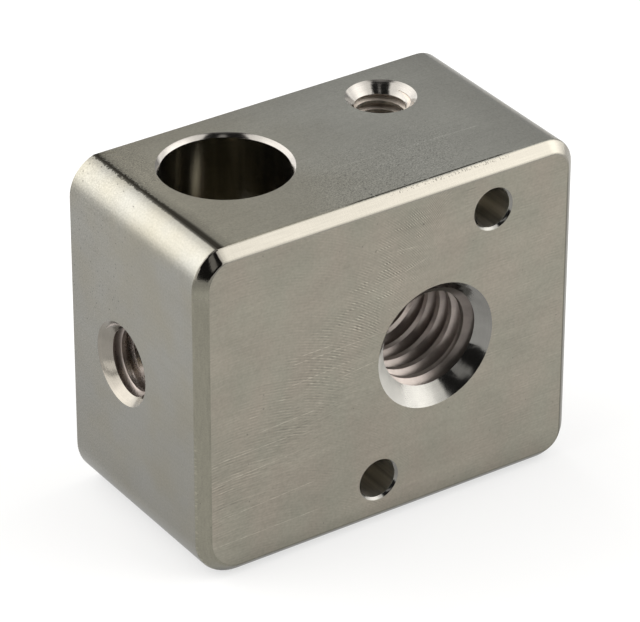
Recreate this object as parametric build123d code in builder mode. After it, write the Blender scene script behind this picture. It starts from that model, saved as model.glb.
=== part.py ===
from build123d import *
from math import radians, sqrt, tan
import os

# Heater block: one machined metal block, standing on its long narrow side.
# X runs along the wide front face, Y runs from front to back, Z is up.
# The origin is the middle of the base. All sizes are millimetres.

# Block
block_width = 22.0
block_depth = 11.5
block_height = 18.2
top_left_radius = 2.0
top_left_set_down = 0.085
bottom_left_radius = 2.3
right_corner_radius = 1.6
front_chamfer = 0.53

# Heater bore, straight through from top to bottom
heater_bore_radius = 3.2
heater_rim_chamfer = 0.2
heater_left_wall = 2.9
heater_front_wall = 3.85

# Nozzle hole, threaded M6 straight through from front to back
nozzle_drill_radius = 2.5
nozzle_thread_radius = 3.0
nozzle_rim_radius = 3.4
core_wall = 1.35

# Grub screw hole, threaded M4 from the left face into the heater bore
grub_drill_radius = 1.65
grub_rim_radius = 2.2

# Two small bores, plain and blind, on a diagonal through the nozzle hole
small_bore_radius = 1.025
small_bore_rim_radius = 1.15
small_bore_depth = 5.0
small_bore_side_offset = 3.3
small_bore_edge_distance = 2.5

# Clamp screw hole, threaded M3, blind, in the top face
clamp_drill_radius = 1.25
clamp_rim_radius = 1.8
clamp_hole_depth = 5.5
clamp_right_distance = 5.65
clamp_back_distance = 2.75

# Cutting tools
countersink_angle = 90.0
drill_point_angle = 118.0

# Places that follow from the sizes above
left_side = -block_width / 2
right_side = block_width / 2
mid_height = block_height / 2
heater_x = left_side + heater_left_wall + heater_bore_radius
heater_y = -block_depth / 2 + heater_front_wall + heater_bore_radius
heater_rim_radius = heater_bore_radius + heater_rim_chamfer
nozzle_x = heater_x + heater_bore_radius + core_wall + nozzle_thread_radius
small_bore_high_z = block_height - small_bore_edge_distance
small_bore_low_z = small_bore_edge_distance
clamp_x = right_side - clamp_right_distance
clamp_y = block_depth / 2 - clamp_back_distance

# The five faces that are cut into, each looking outwards
front_face = Plane.front.offset(block_depth / 2)
back_face = Plane.back.offset(block_depth / 2)
left_face = Plane.left.offset(block_width / 2)
top_face = Plane.top.offset(block_height)
bottom_face = Plane.bottom


def drill_point(radius, depth):
    """Cut the cone that a twist drill leaves at the end of a blind hole."""
    point_height = radius / tan(radians(drill_point_angle / 2))
    with Locations((0, 0, -depth - point_height / 2)):
        Cone(0, radius, point_height, mode=Mode.SUBTRACT)


def blind_hole(face, x, y, radius, rim_radius, depth):
    """Cut a countersunk blind hole with a drill point, square to a face."""
    with Locations(face):
        with Locations((x, y)):
            CounterSinkHole(radius, rim_radius, depth, countersink_angle)
            drill_point(radius, depth)


with BuildPart() as block:
    # The outline of the front face. Three corners are rounded tangent to their sides.
    # At the top left the rounding is set down, so that it meets the top in a crisp line.
    arc_rise = top_left_radius - top_left_set_down
    arc_run = top_left_radius - sqrt(top_left_radius**2 - arc_rise**2)
    arc_foot = (left_side, block_height - arc_rise)
    arc_head = (left_side + arc_run, block_height)
    with BuildSketch(front_face) as outline:
        with BuildLine():
            Line((left_side, 0), arc_foot)
            RadiusArc(arc_foot, arc_head, top_left_radius)
            Polyline(arc_head, (right_side, block_height), (right_side, 0), (left_side, 0))
        make_face()
        fillet(outline.vertices().group_by(Axis.X)[0].sort_by(Axis.Y)[:1], radius=bottom_left_radius)
        fillet(outline.vertices().group_by(Axis.X)[-1], radius=right_corner_radius)
    extrude(amount=-block_depth)

    # The rim of the front face is broken all round, and the back keeps its sharp edges.
    front_rim = block.faces().sort_by(Axis.Y)[0].outer_wire().edges()
    chamfer(front_rim, length=front_chamfer)

    # Heater bore with a small chamfer at both mouths
    for face, side in ((top_face, 1), (bottom_face, -1)):
        with Locations(face):
            with Locations((heater_x, side * heater_y)):
                CounterSinkHole(heater_bore_radius, heater_rim_radius, block_height, countersink_angle)

    # Nozzle hole with a wide countersink at both mouths
    for face, side in ((front_face, 1), (back_face, -1)):
        with Locations(face):
            with Locations((side * nozzle_x, mid_height)):
                CounterSinkHole(nozzle_drill_radius, nozzle_rim_radius, block_depth, countersink_angle)

    # Grub screw hole, which stops at the axis of the heater bore
    with Locations(left_face):
        with Locations((-heater_y, mid_height)):
            CounterSinkHole(grub_drill_radius, grub_rim_radius, heater_x - left_side, countersink_angle)

    # Small bores on the diagonal, and the clamp screw hole
    small_bore_places = (
        (nozzle_x + small_bore_side_offset, small_bore_high_z),
        (nozzle_x - small_bore_side_offset, small_bore_low_z),
    )
    for x, z in small_bore_places:
        blind_hole(front_face, x, z, small_bore_radius, small_bore_rim_radius, small_bore_depth)
    blind_hole(top_face, clamp_x, clamp_y, clamp_drill_radius, clamp_rim_radius, clamp_hole_depth)

block.part.label = "heater_block"
os.makedirs("parts", exist_ok=True)
export_step(block.part, "parts/heater_block.step")
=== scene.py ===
from collections import namedtuple
from math import cos, pi, radians, sin, tan

import bpy
from mathutils import Matrix, Vector


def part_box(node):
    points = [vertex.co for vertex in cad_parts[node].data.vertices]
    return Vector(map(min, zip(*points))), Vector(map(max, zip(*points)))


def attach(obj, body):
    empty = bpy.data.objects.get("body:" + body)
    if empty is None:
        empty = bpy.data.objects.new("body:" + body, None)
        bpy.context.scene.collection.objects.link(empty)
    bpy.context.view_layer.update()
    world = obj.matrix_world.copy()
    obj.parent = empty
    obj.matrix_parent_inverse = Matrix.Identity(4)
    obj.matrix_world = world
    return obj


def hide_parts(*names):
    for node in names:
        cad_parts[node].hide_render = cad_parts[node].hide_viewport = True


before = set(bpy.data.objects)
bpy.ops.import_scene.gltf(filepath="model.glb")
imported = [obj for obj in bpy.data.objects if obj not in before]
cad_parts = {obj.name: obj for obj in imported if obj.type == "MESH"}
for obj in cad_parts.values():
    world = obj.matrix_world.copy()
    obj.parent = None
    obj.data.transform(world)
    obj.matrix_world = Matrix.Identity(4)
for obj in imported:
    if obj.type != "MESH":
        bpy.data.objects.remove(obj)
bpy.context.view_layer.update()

# The block: one piece of metal, milled on six sides and nickel plated all over. Its front rim is
# chamfered, its long edges are rounded, and six holes are drilled into it. Its form is the CAD
# node's, with every sharp edge broken by a hair, as deburring and the plate leave it.
mm = 0.001
block_low, block_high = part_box("heater_block")
left_side, front_side = block_low.x, block_low.y
back_side, top_side = block_high.y, block_high.z
rim_chamfer = 0.53 * mm
crease_at = -9.577 * mm


class Shade:
    """A socket in a tree of shader nodes, with Python's operators as its Math nodes."""

    def __init__(self, tree, socket=None):
        self.tree = tree
        self.socket = socket

    def node(self, kind, settings=(), inputs=(), output=0):
        """Add a node: first its settings, then the values or links of its sockets."""
        made = self.tree.nodes.new(kind)
        for name, value in dict(settings).items():
            setattr(made, name, value)
        for name, value in dict(inputs).items():
            if isinstance(value, Shade):
                self.tree.links.new(value.socket, made.inputs[name])
            else:
                made.inputs[name].default_value = value
        return Shade(self.tree, made.outputs[output] if made.outputs else None)

    def maths(self, operation, *values):
        """A Math node on these values."""
        return self.node("ShaderNodeMath", {"operation": operation}, enumerate(values))

    def __add__(self, other):
        return self.maths("ADD", self, other)

    def __radd__(self, other):
        return self.maths("ADD", other, self)

    def __sub__(self, other):
        return self.maths("SUBTRACT", self, other)

    def __rsub__(self, other):
        return self.maths("SUBTRACT", other, self)

    def __mul__(self, other):
        return self.maths("MULTIPLY", self, other)

    def __rmul__(self, other):
        return self.maths("MULTIPLY", other, self)

    def larger(self, other):
        """The larger of this value and another."""
        return self.maths("MAXIMUM", self, other)

    def rise(self, start, end):
        """0 below start and 1 above end, with a soft slope between."""
        settings = {"interpolation_type": "SMOOTHSTEP"}
        return self.node("ShaderNodeMapRange", settings, {0: self, 1: start, 2: end, 3: 0.0, 4: 1.0})

    def fall(self, start, end):
        """1 below start and 0 above end, with a soft slope between."""
        return 1.0 - self.rise(start, end)

    def within(self, low, high, soft):
        """1 between low and high, with a soft edge each side."""
        return self.rise(low - soft, low + soft) * self.fall(high - soft, high + soft)

    def parts(self):
        """The X, Y and Z of a vector."""
        split = self.node("ShaderNodeSeparateXYZ", {}, {0: self}).socket.node
        return [Shade(self.tree, socket) for socket in split.outputs]

    def noise(self, scales, detail=2.0, seed=0.0):
        """Noise round 0, from about -1 to 1, with its scales per millimetre along X, Y and Z."""
        settings = {"operation": "MULTIPLY_ADD"}
        pulled = self.node("ShaderNodeVectorMath", settings, {0: self, 1: scales, 2: (seed, seed, seed)})
        inputs = {"Vector": pulled, "Scale": 1.0, "Detail": detail}
        found = self.node("ShaderNodeTexNoise", {"noise_type": "FBM"}, inputs)
        middle, spread = 0.5, 3.0
        return (found - middle) * spread

    def pits(self, per_mm, share, size):
        """1 in small ragged pits, in a share of the cells of a loose grid."""
        raggedness, sharpness = 0.35, 0.02
        cells = self.node("ShaderNodeTexVoronoi", {"feature": "F1"}, {"Vector": self, "Scale": per_mm})
        chance = Shade(self.tree, cells.socket.node.outputs["Color"]).parts()[0]
        ragged = cells + self.noise((11.0, 11.0, 11.0), seed=3.0) * (size * raggedness)
        return ragged.fall(size * 0.5, size) * chance.rise(1.0 - share, 1.0 - share + sharpness)

    def tinted(self, dark, light):
        """A colour between two, by this value."""
        settings = {"data_type": "RGBA", "clamp_factor": True}
        return self.node("ShaderNodeMix", settings, {0: self, 6: (*dark, 1), 7: (*light, 1)}, 2)


def new_finish(name):
    """A new material with no nodes yet, and the place on the piece in millimetres."""
    material = bpy.data.materials.new(name)
    material.use_nodes = True
    material.node_tree.nodes.clear()
    place = Shade(material.node_tree).node("ShaderNodeTexCoord", {}, {}, "Object")
    place = place.node("ShaderNodeVectorMath", {"operation": "SCALE"}, {0: place, "Scale": 1 / mm})
    return material, place


def plate(colour, tone, roughness, height, depth, metal=1.0, dirt_and_shade=None):
    """Nickel plate: a colour times a tone, its roughness, its relief in millimetres, and a dark matt
    cover for its dirt and for painted shade.
    """
    settings = {"data_type": "RGBA", "blend_type": "MULTIPLY", "clamp_factor": True}
    grey = tone.node("ShaderNodeCombineColor", {}, {0: tone, 1: tone, 2: tone})
    base = tone.node("ShaderNodeMix", settings, {0: 1.0, 6: colour, 7: grey}, 2)
    bump = tone.node("ShaderNodeBump", {}, {"Strength": 1.0, "Distance": depth * mm, "Height": height})
    shader = tone.node("ShaderNodeBsdfPrincipled", {}, {
        "Base Color": base, "Metallic": metal, "Roughness": roughness, "Normal": bump})
    if dirt_and_shade is not None:
        dirt_and_shade_colour = (0.020, 0.018, 0.014, 1.0)
        covered = tone.node("ShaderNodeBsdfDiffuse", {}, {"Color": dirt_and_shade_colour})
        shader = tone.node("ShaderNodeMixShader", {}, {0: dirt_and_shade, 1: shader, 2: covered})
    tone.node("ShaderNodeOutputMaterial", {}, {"Surface": shader})


def scratched(place, along, up, scratches):
    """1 in thin, broken scratches that run nearly along the block, each from one point to another."""
    core, edge, taper = 0.006, 0.03, 0.3
    unbroken = place.noise((3.0, 3.0, 3.0), seed=1.0).rise(-0.9, 0.7)
    found = 0.0
    for (start_along, start_up), (end_along, end_up) in scratches:
        slope = (end_up - start_up) / (end_along - start_along)
        off = up - along * slope - (start_up - start_along * slope)
        line = off.maths("ABSOLUTE", off).fall(core, edge) * along.within(start_along, end_along, taper)
        found = line * unbroken + found
    return found


# Front and back: faced with a wide cutter that was fed upwards, which leaves fine arcs.
# They show in a band that bends across the face, and are rubbed along its lower side.
milled_relief = 0.003
front_dark, front_light = (0.306, 0.294, 0.243), (0.330, 0.299, 0.249)
arc_radius, arc_middle, arc_feed = 13.3, -8.8, 0.157
least_under_root = 6.0
mean_crest = 0.37
band_low, band_high, band_slope = 10.9, 15.1, 0.72
bend_at, bend_slope = -3.0, 0.43
front_scratches = [
    ((-10.3, 5.55), (-5.4, 5.85)), ((-10.2, 6.75), (-5.6, 6.9)), ((-6.0, 9.65), (-2.2, 9.95)),
    ((-2.8, 9.2), (-0.6, 9.45)), ((-6.2, 10.78), (-0.4, 10.9)), ((-1.0, 13.72), (0.5, 13.8)),
    ((0.7, 13.85), (1.95, 14.2)), ((0.0, 15.18), (1.4, 15.06)), ((-5.3, 11.15), (-3.6, 11.17)),
    ((-10.2, 2.0), (-3.8, 2.1)), ((-9.9, 3.5), (-4.6, 3.8)), ((-7.6, 7.7), (-4.5, 7.85))]
front_finish, place = new_finish("nickel_front")
x, y, z = place.parts()
off_middle = x - arc_middle
under_root = (arc_radius ** 2 - off_middle * off_middle).larger(least_under_root)
bow = arc_radius - under_root.maths("SQRT", under_root)
wander = place.noise((0.5, 0.5, 0.5), seed=4.0)
turn = (z + bow) * (2 * pi / arc_feed) + wander * 2.0
raised = turn.maths("SINE", turn) * 0.5 + 0.5
crests = raised * raised - mean_crest
dashed = place.noise((0.8, 0.8, 10.0), seed=9.0).rise(0.0, 0.75)
broken = place.noise((1.4, 1.4, 1.4), seed=14.0).rise(-0.7, 0.6) * (dashed * 1.7 + 0.45)
across_band = z - x * band_slope - (x - bend_at).larger(0.0) * bend_slope
in_band = across_band.within(band_low, band_high, 1.2) * (x.rise(-8.0, -1.5) * 0.55 + 0.45)
rubbed = across_band.within(8.5, 13.0, 2.2) * z.fall(8.5, 11.0)
arcs = crests * broken * (in_band * 0.85 + 0.15)
drawn = place.noise((0.12, 0.12, 3.0), detail=3.0)
aslant = z - x * 0.03
drawn_fine = x.node("ShaderNodeCombineXYZ", {}, {0: x * 1.3, 1: y, 2: aslant * 17.0})
drawn_fine = drawn_fine.noise((1.0, 1.0, 1.0), detail=3.0, seed=2.0)
grain = place.noise((7.0, 7.0, 7.0), detail=4.0, seed=5.0)
bloom = place.noise((0.35, 0.35, 0.5), detail=4.0, seed=7.0)
scratches = scratched(place, x, z, front_scratches)
pits = place.pits(1.1, 0.2, 0.08) + place.pits(2.3, 0.08, 0.11)
# The foot of the face is darker: painted shade, where it reflects the floor in the block's shadow.
painted_foot_shade = z.fall(0.45, 1.6)
tone = 0.91 + bloom * 0.09 + drawn * 0.045 + drawn_fine * (rubbed * 0.14 + 0.04) + grain * 0.11
tone = tone + arcs * 0.7 + dashed * in_band * 0.06 + scratches * 0.42 - pits * 0.28
tone = tone * (1.0 - painted_foot_shade * 0.17) * (1.0 - z.rise(14.5, 17.0) * 0.05)
colour = place.noise((0.5, 0.5, 0.3), seed=12.0).rise(-0.8, 0.8).tinted(front_dark, front_light)
roughness = 0.36 + drawn * 0.02 + grain * 0.02 - scratches * 0.06
height = drawn * 0.5 + arcs * 0.5 + grain * 0.15 - pits * 2.0 - scratches
plate(colour, tone, roughness, height, milled_relief)


def burr_line(place):
    """1 in the black dashes of burr along the edge between the top and its chamfer, which share it."""
    x, y, z = place.parts()
    dashes = place.noise((5.0, 0.5, 0.5), detail=3.0, seed=3.0).rise(-0.7, -0.3)
    return dashes * x.within(-2.0, 7.0, 0.6) * y.within(-5.20, -5.125, 0.01)


def torn_edge(place):
    """The uneven tearing beside the crisp line at the top left, which the top and the side share."""
    return place.noise((9.0, 12.0, 9.0), detail=3.0, seed=6.0)


# Top and bottom: milled lengthwise, greyer, with more pits, with black dirt beside the crisp line at the
# left and painted shade fading out beyond it. The black burr of the front chamfer lies along their edge.
top_warm, top_cool = (0.268, 0.254, 0.206), (0.262, 0.262, 0.238)
long_scratch = ((-2.2, -1.75), (7.6, -2.15))
faint_scratch = ((-3.2, -3.9), (0.6, -4.0))
top_finish, place = new_finish("nickel_top")
x, y, z = place.parts()
drawn = place.noise((0.2, 5.0, 5.0), detail=3.0)
grain = place.noise((9.0, 12.0, 12.0), detail=3.0, seed=5.0)
fine_grain = place.noise((13.0, 16.0, 16.0), detail=3.0, seed=11.0)
bloom = place.noise((0.3, 0.3, 0.3), detail=3.0, seed=7.0)
worn = (x - y * 0.3).within(-2.0, 6.5, 2.0) * y.fall(-3.0, 1.0)
pits = place.pits(1.6, 0.35, 0.15) * worn + place.pits(3.1, 0.2, 0.15) * (worn * 0.8 + 0.2)
pits = pits + place.pits(0.9, 0.25, 0.09) * x.within(-4.5, 4.0, 1.5) * y.fall(0.0, 3.0)
scratches = scratched(place, x, y, [long_scratch]) + scratched(place, x, y, [faint_scratch]) * 0.5
corner = (x + y * -0.8).fall(-14.5, -8.5)
torn = torn_edge(place) * y.rise(-2.5, 2.5)
beside = (x - crease_at / mm + torn * 0.20) * (1.0 - y.fall(-3.0, 2.0) * 0.4)
lip = beside.fall(0.12, 0.27)
# Painted shade that fades out over about half a millimetre from the crisp line, in place of a gentle
# slope there.
painted_crease_shade = (beside + grain * 0.1).fall(0.1, 0.75)
sparkle = place.noise((14.0, 14.0, 14.0), seed=8.0).rise(0.3, 0.6) * y.rise(-1.0, 3.0)
back_corner = x.fall(-8.5, -6.5) * y.rise(0.0, 2.5)
tone = 0.865 + bloom * 0.07 + drawn * 0.05 + grain * 0.15 + scratches * 0.42 - pits * 0.45
tone = tone + fine_grain * (worn * 0.55 + back_corner * 0.5 + 0.1)
tone = tone * (1.0 - corner * 0.10) * (1.0 - painted_crease_shade * 0.38)
# Darker towards the back, and towards the right edge as painted shade where the rounding there begins to
# turn from the light.
tone = tone * (1.0 - y.rise(3.5, 5.7) * 0.08) * (1.0 - x.rise(7.0, 9.8) * 0.14)
tone = tone * (1.0 - lip * 0.8)
colour = (x + bloom * 2.0).rise(-9.0, 4.0).tinted(top_warm, top_cool)
roughness = 0.36 + grain * 0.03 + bloom * 0.02
height = drawn * 0.4 + grain * 0.4 - pits * 2.0 - scratches
black = (lip * (0.9 - sparkle * 0.6)).larger(burr_line(place) * 0.9)
plate(colour, tone, roughness, height, milled_relief, dirt_and_shade=black)

# Ends and rounded edges: milled from front to back, with pits high up at the back, and painted shade
# lower down, on the bottom rounding and on the top right rounding.
side_warm, side_cool = (0.300, 0.284, 0.236), (0.303, 0.297, 0.270)
side_finish, place = new_finish("nickel_side")
x, y, z = place.parts()
drawn = place.noise((6.0, 0.15, 6.0), detail=3.0)
grain = place.noise((11.0, 8.0, 11.0), detail=3.0, seed=5.0)
bloom = place.noise((0.35, 0.35, 0.35), detail=3.0, seed=7.0)
sown = (z + y * 0.8).within(11.0, 30.0, 2.0) * y.rise(-1.5, 1.5)
pits = (place.pits(3.2, 0.5, 0.17) + place.pits(1.7, 0.4, 0.11)) * sown + place.pits(2.6, 0.09, 0.12)
lower = (z - y * 0.35).fall(-1.0, 16.0)
painted_foot_shade = z.fall(0.9, 2.0)
rounded = z.rise(15.6, 16.8) * x.fall(-9.0, -8.0)
torn = torn_edge(place) * (y.rise(-2.5, 2.5) * 0.85 + 0.15)
beside = x - crease_at / mm + torn * 0.13
past_crease = beside.fall(0.5, 0.6)
near_crease = beside.rise(-0.6, 0.0) * past_crease
lip = beside.rise(-0.15, -0.04) * past_crease
fine_grain = place.noise((14.0, 12.0, 14.0), detail=3.0, seed=11.0) * y.rise(-2.0, 4.5)
tone = 0.825 - y.rise(0.5, 4.5) * 0.03 + bloom * 0.04 + drawn * 0.04 + grain * 0.12
tone = tone + fine_grain * 0.22 - pits * 0.4
# Painted shade: darker lower down and on the bottom rounding, where the faces reflect the floor in the
# block's shadow, and on the top right rounding, where it dims a bright grazing reflection.
tone = tone * (1.0 - lower * 0.11) * (1.0 + rounded * 0.02) * (1.0 - painted_foot_shade * 0.45)
tone = tone * (1.0 - near_crease * 0.3) * (1.0 - lip * 0.5) * (1.0 - x.rise(9.8, 11.0) * 0.35)
colour = place.noise((0.4, 0.4, 0.4), seed=12.0).rise(-0.8, 0.8).tinted(side_warm, side_cool)
roughness = 0.31 + drawn * 0.015 + grain * 0.02
height = drawn * 0.4 + grain * 0.3 - pits * 2.0
plate(colour, tone, roughness, height, milled_relief, dirt_and_shade=lip * 0.8)

# Front rim: one pass of a chamfer mill, bright along the top and duller down the sides, with black burr
# and specks where it meets the top, painted shade at its foot and low on its right side, and a polished
# mitre at the top left corner that painted shade darkens.
rim_dull, rim_bright = (0.236, 0.226, 0.183), (0.279, 0.263, 0.229)
rim_finish, place = new_finish("nickel_rim")
x, y, z = place.parts()
drawn = place.noise((0.6, 9.0, 9.0), detail=3.0)
hatch = place.noise((9.0, 1.5, 1.5), seed=2.0)
bloom = place.noise((0.4, 0.4, 0.4), detail=3.0, seed=7.0)
grain = place.noise((14.0, 14.0, 14.0), seed=5.0)
drawn_down = place.noise((9.0, 9.0, 1.0), detail=3.0, seed=4.0)
bright = z.rise(16.4, 17.5)
pits = place.pits(2.6, 0.35, 0.12) * z.fall(4.0, 8.0)
specks = place.noise((13.0, 8.0, 8.0), seed=6.0).rise(0.0, 0.45)
specks = specks * x.within(0.2, 7.0, 0.8) * y.within(-5.38, -5.20, 0.02)
dots = place.noise((2.0, 2.0, 9.0), seed=4.0).rise(0.0, 0.4) * y.rise(-5.33, -5.27) * z.fall(7.0, 9.0)
polished = x.fall(-9.65, -9.35) * z.within(15.9, 18.5, 0.3)
mitre = x.fall(-9.6, -9.2) * z.within(16.5, 18.5, 0.3)
# Painted shade at the foot of the rim, where it reflects the floor in the block's shadow, and low on its
# right side below the top right corner.
rim_painted_shade = z.fall(0.3, 0.8) * 0.5 + x.rise(10.2, 10.5) * z.fall(15.5, 17.0) * 0.36
tone = 0.94 + bloom * 0.05 + drawn * 0.05 + grain * (0.12 - bright * 0.09) - pits * 0.4
tone = tone + drawn_down * (1.0 - bright) * 0.10
tone = tone * (1.0 - specks * 0.45) * (1.0 - rim_painted_shade) + dots * 0.3
# The mitre is darkened by painted shade, over the reflection of a lamp.
tone = tone * (1.0 - mitre * 0.35)
colour = bright.tinted(rim_dull, rim_bright)
roughness = 0.24 + grain * 0.02 + (1.0 - bright) * 0.12 - polished * 0.14
height = drawn * 0.3 + hatch * 0.2
plate(colour, tone, roughness, height, milled_relief, dirt_and_shade=burr_line(place) * 0.9)

# Countersinks and bores: cut by tools that leave fine rings round the axis, and streaks along
# it where chips were dragged out.
bored_relief = 0.002


def lengthwise(axis, along, across):
    """The scales of a noise: one along an axis, and another across it."""
    return tuple(along if letter == axis else across for letter in "xyz")


def bored(name, colour, rough, axis, rings_depth, streaks_depth, metal=1.0, painted_shade_at=None):
    """Nickel plate on the wall of a hole, over the rings and the streaks that a drill leaves in it.

    soot is None, or a function of the place that says how much painted shade, as a dark matt cover, lies
    there.
    """
    material, place = new_finish(name)
    rings = place.noise(lengthwise(axis, 8.0, 0.2), detail=3.0)
    streaks = place.noise(lengthwise(axis, 0.1, 2.2), detail=3.0, seed=3.0)
    grain = place.noise((14.0, 14.0, 14.0), seed=5.0)
    tone = 0.86 + rings * 0.1 * rings_depth + grain * 0.05 + streaks * 0.3 * streaks_depth
    darker = tuple(part * 0.92 for part in colour)
    tinted = streaks.rise(-1.0, 1.0).tinted(darker, colour)
    roughness = rough + rings * 0.02 + grain * 0.02
    height = rings * rings_depth + streaks * 0.4 * streaks_depth
    dirt_and_shade = painted_shade_at(*place.parts()) if painted_shade_at else None
    plate(tinted, tone, roughness, height, bored_relief, metal, dirt_and_shade)
    return material


def countersunk(name, colour, rough, axis, matt_and_painted_light=None):
    """Nickel plate on a countersink, over the fine rings and the chatter that its cutter leaves.

    matt_and_painted_light is None, or a function of the place that says how matt the plate is there and
    how much painted light makes it paler.
    """
    material, place = new_finish(name)
    rings = place.noise(lengthwise(axis, 22.0, 0.1))
    chatter = place.noise(lengthwise(axis, 0.3, 1.3), seed=3.0)
    grain = place.noise((14.0, 14.0, 14.0), seed=5.0)
    matt_and_lit = matt_and_painted_light(*place.parts()) if matt_and_painted_light else 0.0
    # Where it is matt the tone is also raised: painted light.
    tone = (0.95 + rings * 0.05 + grain * 0.04 + chatter * 0.05) * (1.0 + matt_and_lit * 1.15)
    darker = tuple(part * 0.92 for part in colour)
    tinted = chatter.rise(-1.0, 1.0).tinted(darker, colour)
    roughness = rough + rings * 0.02 + grain * 0.01 + matt_and_lit * 0.3
    height = rings * 0.4 + chatter
    plate(tinted, tone, roughness, height, bored_relief, 1.0 - matt_and_lit * 0.75)
    return material


def nozzle_painted_shade(x, y, z):
    """Painted shade in the upper part of the nozzle thread, where it reflects the floor in the block's
    shadow, and on the first flank at its right.
    """
    above = z.rise(9.8, 11.3) * 0.88
    at_mouth = y.fall(-4.4, -4.2) * x.rise(2.8, 4.4) * 0.6
    return above.larger(at_mouth)


def nozzle_matt_and_painted_light(x, y, z):
    """Matt, and paler by painted light, at the left end of the countersink at the nozzle hole's front
    mouth.
    """
    return x.fall(0.6, 1.6) * y.fall(-1.0, 1.0) * z.within(5.0, 9.7, 0.5)


side_rim_colour = (0.262, 0.243, 0.213)
front_rim_colour = (0.225, 0.220, 0.206)
top_rim_colour = (0.280, 0.266, 0.248)
# The heater bore and the small bores are paler than the plate: painted light that lifts their dark
# insides.
heater_bore_colour = (0.50, 0.475, 0.40)
small_bore_colour = (0.78, 0.745, 0.67)
thread_colour = (0.47, 0.41, 0.375)
clamp_thread_colour = (0.55, 0.49, 0.43)
finishes = {
    "front": front_finish,
    "top": top_finish,
    "side": side_finish,
    "rim": rim_finish,
    "countersink_x": countersunk("nickel_countersink_x", side_rim_colour, rough=0.20, axis="x"),
    "countersink_y": countersunk("nickel_countersink_y", front_rim_colour, rough=0.13, axis="y",
                                 matt_and_painted_light=nozzle_matt_and_painted_light),
    "countersink_z": countersunk("nickel_countersink_z", top_rim_colour, rough=0.13, axis="z"),
    "heater_bore": bored("nickel_heater_bore", heater_bore_colour, rough=0.16, axis="z",
                         rings_depth=0.1, streaks_depth=1.0),
    "small_bores": bored("nickel_small_bores", small_bore_colour, rough=0.38, axis="y",
                         rings_depth=0.3, streaks_depth=2.0),
    "nozzle_thread": bored("nickel_nozzle_thread", thread_colour, rough=0.30, axis="y",
                           rings_depth=0.3, streaks_depth=0.3, metal=0.6, painted_shade_at=nozzle_painted_shade),
    "grub_thread": bored("nickel_grub_thread", thread_colour, rough=0.28, axis="x",
                         rings_depth=0.3, streaks_depth=0.3, metal=0.78),
    "clamp_thread": bored("nickel_clamp_thread", clamp_thread_colour, rough=0.45, axis="z",
                          rings_depth=0.3, streaks_depth=0.3, metal=0.8)}

# Each hole: a point on its axis, the axis, how far its countersink reaches from the axis, and
# the finish of its wall
Hole = namedtuple("Hole", "middle axis reach finish")
heater_bore = Hole(Vector((-4.9, 1.3, 9.1)) * mm, "z", 3.45 * mm, "heater_bore")
nozzle_hole = Hole(Vector((2.65, 0.0, 9.1)) * mm, "y", 3.45 * mm, "nozzle_thread")
upper_small_bore = Hole(Vector((5.95, -3.0, 15.7)) * mm, "y", 1.2 * mm, "small_bores")
lower_small_bore = Hole(Vector((-0.65, -3.0, 2.5)) * mm, "y", 1.2 * mm, "small_bores")
clamp_hole = Hole(Vector((5.35, 3.0, 15.0)) * mm, "z", 1.85 * mm, "clamp_thread")
grub_hole = Hole(Vector((-9.0, 1.3, 9.1)) * mm, "x", 2.25 * mm, "grub_thread")
holes = [heater_bore, nozzle_hole, upper_small_bore, lower_small_bore, clamp_hole, grub_hole]

block = bpy.data.objects.new("nickel_block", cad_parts["heater_block"].data.copy())
bpy.context.scene.collection.objects.link(block)


def edit_only(piece):
    """Select one piece and nothing else, and open it in edit mode with all of it selected."""
    bpy.ops.object.select_all(action="DESELECT")
    bpy.context.view_layer.objects.active = piece
    piece.select_set(True)
    bpy.ops.object.mode_set(mode="EDIT")
    bpy.ops.mesh.select_all(action="SELECT")


def pick(piece, kind, wanted):
    """Select the edges or faces of the piece that are wanted, and no others."""
    bpy.ops.mesh.select_all(action="DESELECT")
    bpy.ops.mesh.select_mode(type=kind)
    bpy.ops.object.mode_set(mode="OBJECT")
    parts = {"EDGE": piece.data.edges, "FACE": piece.data.polygons}[kind]
    for part in parts:
        part.select = wanted(part)
    bpy.ops.object.mode_set(mode="EDIT")


# The loose triangles of the CAD node become whole faces.
merge_within = 0.0005 * mm
flat_within = radians(0.5)
edit_only(block)
bpy.ops.mesh.customdata_custom_splitnormals_clear()
bpy.ops.mesh.remove_doubles(threshold=merge_within)
bpy.ops.mesh.dissolve_limited(angle_limit=flat_within)

# The edges of the front chamfer are rounded by a larger amount than the other edges.
touching = 0.002 * mm
rim_softening, rim_segments = 0.09 * mm, 3


def on_front_rim(edge):
    """True for an edge of the chamfer round the front face."""
    ends = [block.data.vertices[number].co for number in edge.vertices]
    outer = all(abs(end.y - front_side - rim_chamfer) < touching for end in ends)
    inner = all(abs(end.y - front_side) < touching for end in ends)
    for hole in holes:
        away = Vector((ends[0].x - hole.middle.x, ends[0].z - hole.middle.z))
        if hole.axis == "y" and away.length < hole.reach:
            inner = False
    return outer or inner


pick(block, "EDGE", on_front_rim)
bpy.ops.mesh.bevel(offset=rim_softening, segments=rim_segments, profile=0.5, affect="EDGES")

# Every other sharp edge is broken by a hair.
edge_break, edge_segments = 0.03 * mm, 2
edge_limit = radians(30)
bpy.ops.object.mode_set(mode="OBJECT")
bevel = block.modifiers.new("edge_break", "BEVEL")
bevel.width = edge_break
bevel.segments = edge_segments
bevel.limit_method = "ANGLE"
bevel.angle_limit = edge_limit
bevel.use_clamp_overlap = True
bpy.ops.object.modifier_apply(modifier=bevel.name)

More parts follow.
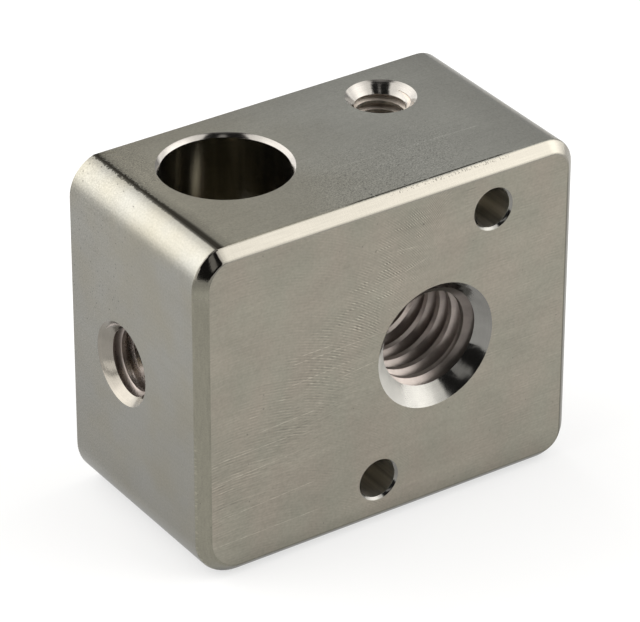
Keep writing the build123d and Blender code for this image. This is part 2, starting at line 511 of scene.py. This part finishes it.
# Behind the crisp line at the top left the facing cutter left a shallow, slightly torn groove.
groove_floor_at = -9.33 * mm
groove_end_at = -8.5 * mm
groove_depth = 0.035 * mm
groove_reach = 0.08 * mm
groove_steps = 70
near_line = 0.01 * mm
tear_depth_share = 0.35
tear_sideways = 0.02 * mm
edit_only(block)
for cut_at in (groove_floor_at, groove_end_at):
    pick(block, "FACE", lambda face: face.normal.z > 0.999 and face.center.z > top_side - near_line)
    bpy.ops.mesh.bisect(plane_co=(cut_at, 0, 0), plane_no=(1, 0, 0))


def along_groove(edge):
    """True for an edge on top that runs from front to back between the crease and the groove's end."""
    ends = [block.data.vertices[number].co for number in edge.vertices]
    on_top = all(end.z > top_side - groove_reach for end in ends)
    in_groove = all(crease_at - near_line < end.x < groove_end_at + near_line for end in ends)
    lengthwise_run = abs(ends[0].x - ends[1].x) < abs(ends[0].y - ends[1].y) * 0.7
    return on_top and in_groove and lengthwise_run


pick(block, "EDGE", along_groove)
bpy.ops.mesh.subdivide(number_cuts=groove_steps, quadcorner="INNERVERT")
bpy.ops.object.mode_set(mode="OBJECT")
for vertex in block.data.vertices:
    if abs(vertex.co.x - groove_floor_at) < near_line and vertex.co.z > top_side - 0.001 * mm:
        # Three waves with no common length, so that the tearing doesn't repeat
        step = vertex.co.y / mm
        torn = sin(step * 9.1) * sin(step * 23.7 + 1.0) + 0.6 * sin(step * 41.3 + 2.0)
        back_share = (vertex.co.y - front_side) / (back_side - front_side)
        vertex.co.z -= groove_depth * (1 + tear_depth_share * torn * back_share)
        vertex.co.x += tear_sideways * torn * back_share
edit_only(block)
pick(block, "EDGE", along_groove)
bpy.ops.mesh.mark_sharp()
bpy.ops.object.mode_set(mode="OBJECT")

# What tells the faces apart: how far down the top's own faces reach, how far the bevelled edge
# of the front rim does, where the grub hole has run into the heater bore, where the small bores
# are past their countersinks, and how much a wall may lean along its axis.
top_reach = 0.1 * mm
rim_reach = rim_chamfer + 0.03 * mm
grub_hole_end = -7.0 * mm
small_bore_inside = -4.0 * mm
wall_lean = 0.3


def finish_of(face):
    """The name of the finish that a face of the block has, by its place and the way it looks."""
    tilt = face.normal
    on_front = face.center.y < front_side + touching
    on_back = face.center.y > back_side - touching
    on_top = face.center.z > top_side - top_reach and tilt.z > 0.9 and tilt.x > -0.25
    on_bottom = face.center.z < touching
    on_left = face.center.x < left_side + touching
    if on_front or on_back:
        return "front"
    if on_top or on_bottom:
        return "top"
    if not on_left:
        for hole in holes:
            axis_number = "xyz".index(hole.axis)
            away = face.center - hole.middle
            away[axis_number] = 0
            past_grub_hole = hole.axis == "x" and face.center.x > grub_hole_end
            if away.length < hole.reach and not past_grub_hole:
                deep_inside = hole.finish == "small_bores" and face.center.y > small_bore_inside
                on_wall = abs(tilt[axis_number]) < wall_lean or deep_inside
                return hole.finish if on_wall else "countersink_" + hole.axis
    if face.center.y < front_side + rim_reach:
        return "rim"
    return "side"


finish_names = list(finishes)
block.data.materials.clear()
for name in finish_names:
    block.data.materials.append(finishes[name])
for face in block.data.polygons:
    face.material_index = finish_names.index(finish_of(face))

# The three threads: each is cut by a tap into its drilled hole, as a right-hand groove of 60
# degrees, with a flat crest left between its turns.
thread_angle = radians(60)
root_share = 1 / 8
tap_overlap = 0.2 * mm
steps_per_turn = 72


def cut_thread(name, middle, outward, pitch, drill_radius, thread_radius, start, end, groove_at, finish):
    """Cut a thread into a drilled hole, as a groove swept round the axis that points out of its mouth.

    start and end are depths below the mouth, and groove_at is the depth of the groove's middle
    on the hole's own zero line, which is the first of the two axes that span its mouth.
    """
    inner_radius = drill_radius - tap_overlap
    root_half = pitch * root_share / 2
    inner_half = root_half + (thread_radius - inner_radius) * tan(thread_angle / 2)
    bpy.ops.object.select_all(action="DESELECT")
    bpy.ops.mesh.primitive_plane_add(size=1.0, rotation=(pi / 2, 0, 0))
    tap = bpy.context.object
    tap.name = name
    bpy.ops.object.transform_apply(location=True, rotation=True, scale=True)
    for vertex in tap.data.vertices:
        outer = vertex.co.x > 0
        half = root_half if outer else inner_half
        vertex.co.x = thread_radius if outer else inner_radius
        vertex.co.z = half if vertex.co.z > 0 else -half
    screw = tap.modifiers.new("helix", "SCREW")
    screw.axis = "Z"
    screw.steps = screw.render_steps = steps_per_turn
    screw.angle = 2 * pi
    screw.screw_offset = pitch
    screw.iterations = int((end - start) / pitch) + 1
    screw.use_merge_vertices = True
    screw.merge_threshold = merge_within
    edit_only(tap)
    bpy.ops.mesh.delete(type="ONLY_FACE")
    bpy.ops.object.mode_set(mode="OBJECT")
    bpy.ops.object.modifier_apply(modifier=screw.name)
    edit_only(tap)
    bpy.ops.mesh.fill_holes(sides=4)
    bpy.ops.mesh.select_all(action="SELECT")
    bpy.ops.mesh.normals_make_consistent(inside=False)
    bpy.ops.object.mode_set(mode="OBJECT")
    tap.data.materials.append(finishes[finish])
    into = -Vector(outward)
    zero_line = Vector((0, 1, 0)) if abs(into.x) > 0.5 else Vector((1, 0, 0))
    turned = Matrix((zero_line, into.cross(zero_line), into)).transposed().to_4x4()
    first_depth = groove_at + pitch * int((start - groove_at) / pitch - 1)
    tap.matrix_world = Matrix.Translation(middle + into * first_depth) @ turned
    bpy.ops.object.transform_apply(location=True, rotation=True, scale=True)
    bpy.ops.object.select_all(action="DESELECT")
    bpy.context.view_layer.objects.active = block
    block.select_set(True)
    cut = block.modifiers.new(name, "BOOLEAN")
    cut.operation = "DIFFERENCE"
    cut.solver = "EXACT"
    cut.object = tap
    cut.material_mode = "TRANSFER"
    bpy.ops.object.modifier_apply(modifier=cut.name)
    bpy.data.objects.remove(tap)


# M6 by 1 in the nozzle hole, straight through from front to back
nozzle_mouth = Vector((nozzle_hole.middle.x, front_side, nozzle_hole.middle.z))
cut_thread("nozzle_tap", nozzle_mouth, outward=(0, -1, 0), pitch=1.0 * mm, drill_radius=2.5 * mm,
           thread_radius=3.0 * mm, start=-1.0 * mm, end=12.5 * mm, groove_at=0.83 * mm,
           finish=nozzle_hole.finish)

# M4 by 0.7 in the grub screw hole, from the left face into the heater bore
grub_mouth = Vector((left_side, grub_hole.middle.y, grub_hole.middle.z))
cut_thread("grub_tap", grub_mouth, outward=(-1, 0, 0), pitch=0.7 * mm, drill_radius=1.65 * mm,
           thread_radius=2.0 * mm, start=-0.7 * mm, end=3.2 * mm, groove_at=0.79 * mm,
           finish=grub_hole.finish)

# M3 by 0.5 in the clamp screw hole, to just short of the drill's point
clamp_mouth = Vector((clamp_hole.middle.x, clamp_hole.middle.y, top_side))
cut_thread("clamp_tap", clamp_mouth, outward=(0, 0, 1), pitch=0.5 * mm, drill_radius=1.25 * mm,
           thread_radius=1.5 * mm, start=-0.5 * mm, end=4.4 * mm, groove_at=0.3 * mm,
           finish=clamp_hole.finish)

# The finished block: round walls shade smoothly, flat faces stay flat, and it takes the place
# of the CAD node.
smooth_below = radians(38)
bpy.ops.object.shade_smooth_by_angle(angle=smooth_below)
weighted = block.modifiers.new("flat_faces", "WEIGHTED_NORMAL")
weighted.keep_sharp = True
weighted.mode = "FACE_AREA"
bpy.ops.object.modifier_apply(modifier=weighted.name)
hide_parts("heater_block")
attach(block, "root")

# The table: a flat sheet of matt white paper under the block, wide enough that no view looks
# past it. Seen straight or in a reflection it is nearly plain white, and it keeps the shadow.
sheet_width = 8.0
paper_colour = (0.86, 0.86, 0.86, 1.0)
glow_colour = (1.0, 1.0, 1.0, 1.0)
glow_share = 0.62
bpy.ops.object.select_all(action="DESELECT")
bpy.ops.mesh.primitive_plane_add(size=sheet_width, location=(0, 0, 0))
floor = bpy.context.object
floor.name = "floor"
paper = bpy.data.materials.new("white_paper")
paper.use_nodes = True
paper.node_tree.nodes.clear()
start = Shade(paper.node_tree)
ray = start.node("ShaderNodeLightPath").socket.node
seen = Shade(paper.node_tree, ray.outputs["Is Camera Ray"])
for kind in ("Is Glossy Ray", "Is Transmission Ray"):
    seen = seen.larger(Shade(paper.node_tree, ray.outputs[kind]))
sheet = start.node("ShaderNodeBsdfDiffuse", {}, {"Color": paper_colour})
glow = start.node("ShaderNodeEmission", {}, {"Color": glow_colour, "Strength": 1.0})
mixed = start.node("ShaderNodeMixShader", {}, {0: seen * glow_share, 1: sheet, 2: glow})
start.node("ShaderNodeOutputMaterial", {}, {"Surface": mixed})
floor.data.materials.append(paper)

# The studio: two large soft lights, one each side, with the dark of the room between and a grey
# wall behind. Directions go round from the front of the block, by its right side to its back,
# and heights go up from level. Both are in degrees.
studio_colour = (1.0, 0.99, 0.965, 1.0)
world = bpy.data.worlds.new("studio")
bpy.context.scene.world = world
world.use_nodes = True
world.node_tree.nodes.clear()
start = Shade(world.node_tree)
toward = start.node("ShaderNodeTexCoord", {}, {}, "Generated")
toward = start.node("ShaderNodeVectorMath", {"operation": "NORMALIZE"}, {0: toward})
x, y, z = toward.parts()
in_degrees = 180 / pi
direction = x.maths("ARCTAN2", x, 0.0 - y) * in_degrees
direction = direction.maths("WRAP", direction, 360.0, 0.0)
height = z.maths("ARCSINE", z) * in_degrees


def soft_light(strength, directions, heights):
    """The light of a soft box between two directions and two heights, each with its soft edge."""
    return strength * (direction.within(*directions) * height.within(*heights))


room, wall_level, ceiling_level = 0.03, 0.87, 0.7
right_light = soft_light(2.3, (14.0, 104.0, 5.0), (-6.0, 66.0, 5.0))
right_core = soft_light(1.95, (38.0, 84.0, 16.0), (14.0, 50.0, 14.0))
left_light = soft_light(2.55, (165.0, 280.0, 5.0), (-3.0, 64.0, 5.0))
left_core = soft_light(1.25, (190.0, 252.0, 16.0), (12.0, 48.0, 12.0))
upper_stripe = soft_light(0.6, (326.0, 340.0, 3.0), (24.0, 62.0, 4.0))
left_strip = soft_light(2.4, (286.0, 299.0, 2.5), (-3.0, 28.0, 3.0))
back_wall = direction.within(100.0, 166.0, 6.0) * (0.7 + 0.3 * height.rise(8.0, 27.0))
back_wall = back_wall * height.rise(-2.0, 2.0)
ceiling = height.rise(66.0, 76.0)
level = room + right_light + right_core + left_light + left_core + upper_stripe + left_strip
level = level + wall_level * back_wall * (1.0 - ceiling) + ceiling_level * ceiling
background = start.node("ShaderNodeBackground", {}, {"Color": studio_colour, "Strength": level})
start.node("ShaderNodeOutputWorld", {}, {"Surface": background})

# The camera: a long lens, as far away, as far round to the left and as high as the photograph
# was taken from. All of that was worked out from the block's edges and holes in it.
frame_width = 640
focal_pixels = 4316.0
camera_round = radians(34.09)
camera_height = radians(30.73)
camera_roll = radians(0.15)
camera_distance = 213.09 * mm
camera_target = Vector((-0.277, 0.0, 9.183)) * mm
level_part = cos(camera_height)
out = Vector((-sin(camera_round) * level_part, -cos(camera_round) * level_part, sin(camera_height)))
lens = bpy.data.cameras.new("camera")
lens.sensor_width = 36.0
lens.lens = focal_pixels * lens.sensor_width / frame_width
lens.clip_start = 0.01
lens.clip_end = 50.0
camera = bpy.data.objects.new("camera", lens)
bpy.context.scene.collection.objects.link(camera)
turn = out.to_track_quat("Z", "Y").to_matrix().to_4x4() @ Matrix.Rotation(camera_roll, 4, "Z")
camera.matrix_world = Matrix.Translation(camera_target + out * camera_distance) @ turn
bpy.context.scene.camera = camera
bpy.context.scene.view_settings.view_transform = "Standard"
